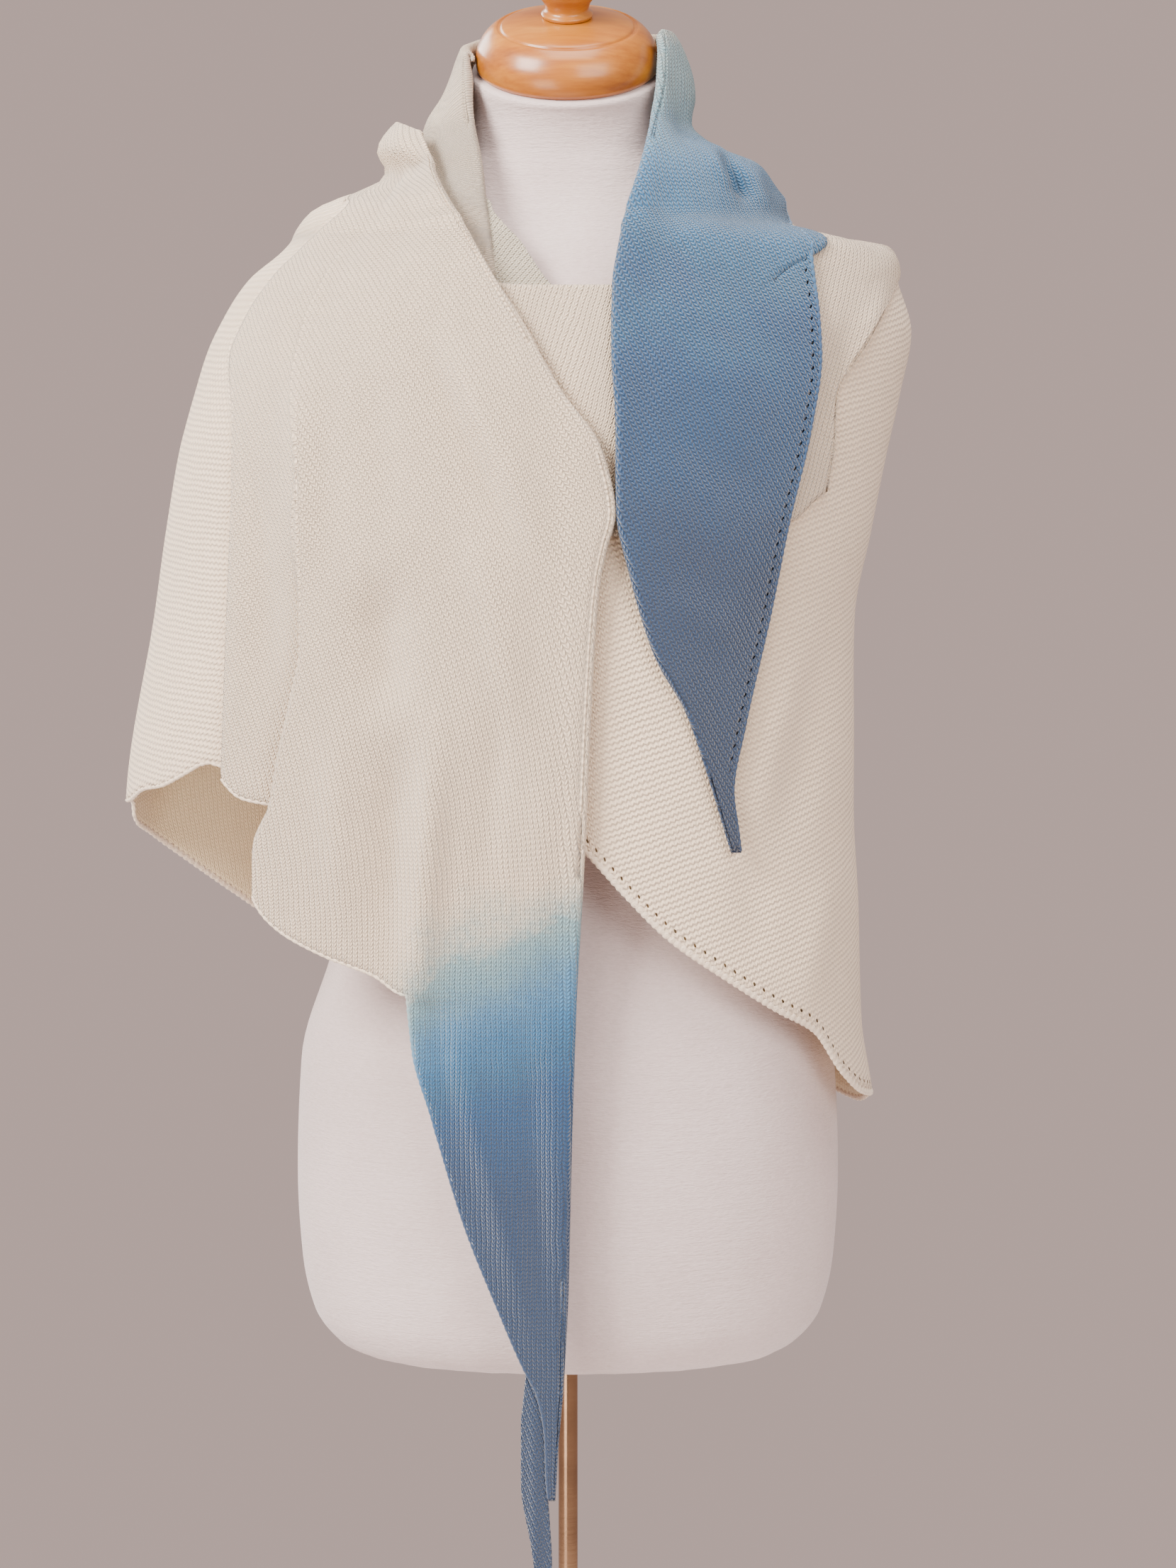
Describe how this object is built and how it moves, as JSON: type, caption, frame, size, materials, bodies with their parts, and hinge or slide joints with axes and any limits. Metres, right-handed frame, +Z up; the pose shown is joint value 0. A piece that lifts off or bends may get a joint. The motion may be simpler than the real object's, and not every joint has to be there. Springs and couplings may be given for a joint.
{
  "type": "knitted wrap on a dress form",
  "caption": "Long knitted wrap with dip-dyed blue ends, wound round the shoulders of a limbless dress form on a pole stand; one blue end lies on the chest, the other hangs as a twisted tail.",
  "frame": {"origin": "centre of the underside of the stand's base, on the floor", "axes": "+Z up, the form faces -Y, +X is the wearer's left"},
  "size_m": [0.4995, 0.2806, 1.4181],
  "materials": {
    "form_jersey": "matt off-white jersey stretched over the form",
    "cap_wood": "honey-orange lacquered turned wood",
    "finial_wood": "honey-orange lacquered turned wood",
    "pole_bronze": "polished bronze-coloured metal tube",
    "base_bronze": "polished bronze-coloured metal plate",
    "knit_back": "cream machine knit, purl side out",
    "knit_chest": "cream machine knit",
    "knit_flap": "cream machine knit",
    "knit_shoulder": "cream machine knit",
    "knit_front": "cream machine knit",
    "knit_side": "cream machine knit",
    "knit_arm": "cream machine knit, purl side out",
    "knit_blue": "dip-dyed knit, pale aqua to deep blue",
    "knit_collar": "cream knit turning aqua towards the dyed end",
    "knit_inner": "cream machine knit",
    "knit_neck_fold": "cream machine knit in shadow",
    "knit_tail": "dip-dyed knit, cream through aqua to deep blue",
    "knit_tail_back": "deep blue dyed knit"
  },
  "bodies": {
    "root": {"form_body": "form_jersey", "neck_cap": "cap_wood", "finial": "finial_wood", "pole": "pole_bronze", "base": "base_bronze", "back_panel": "knit_back", "chest_layer": "knit_chest", "chest_flap": "knit_flap", "shoulder_layer": "knit_shoulder", "front_layer": "knit_front", "side_fold": "knit_side", "arm_fold": "knit_arm", "blue_point": "knit_blue", "neck_collar": "knit_collar", "inner_collar": "knit_inner", "neck_fold": "knit_neck_fold", "tail": "knit_tail", "tail_back": "knit_tail_back"}
  },
  "joints": []
}
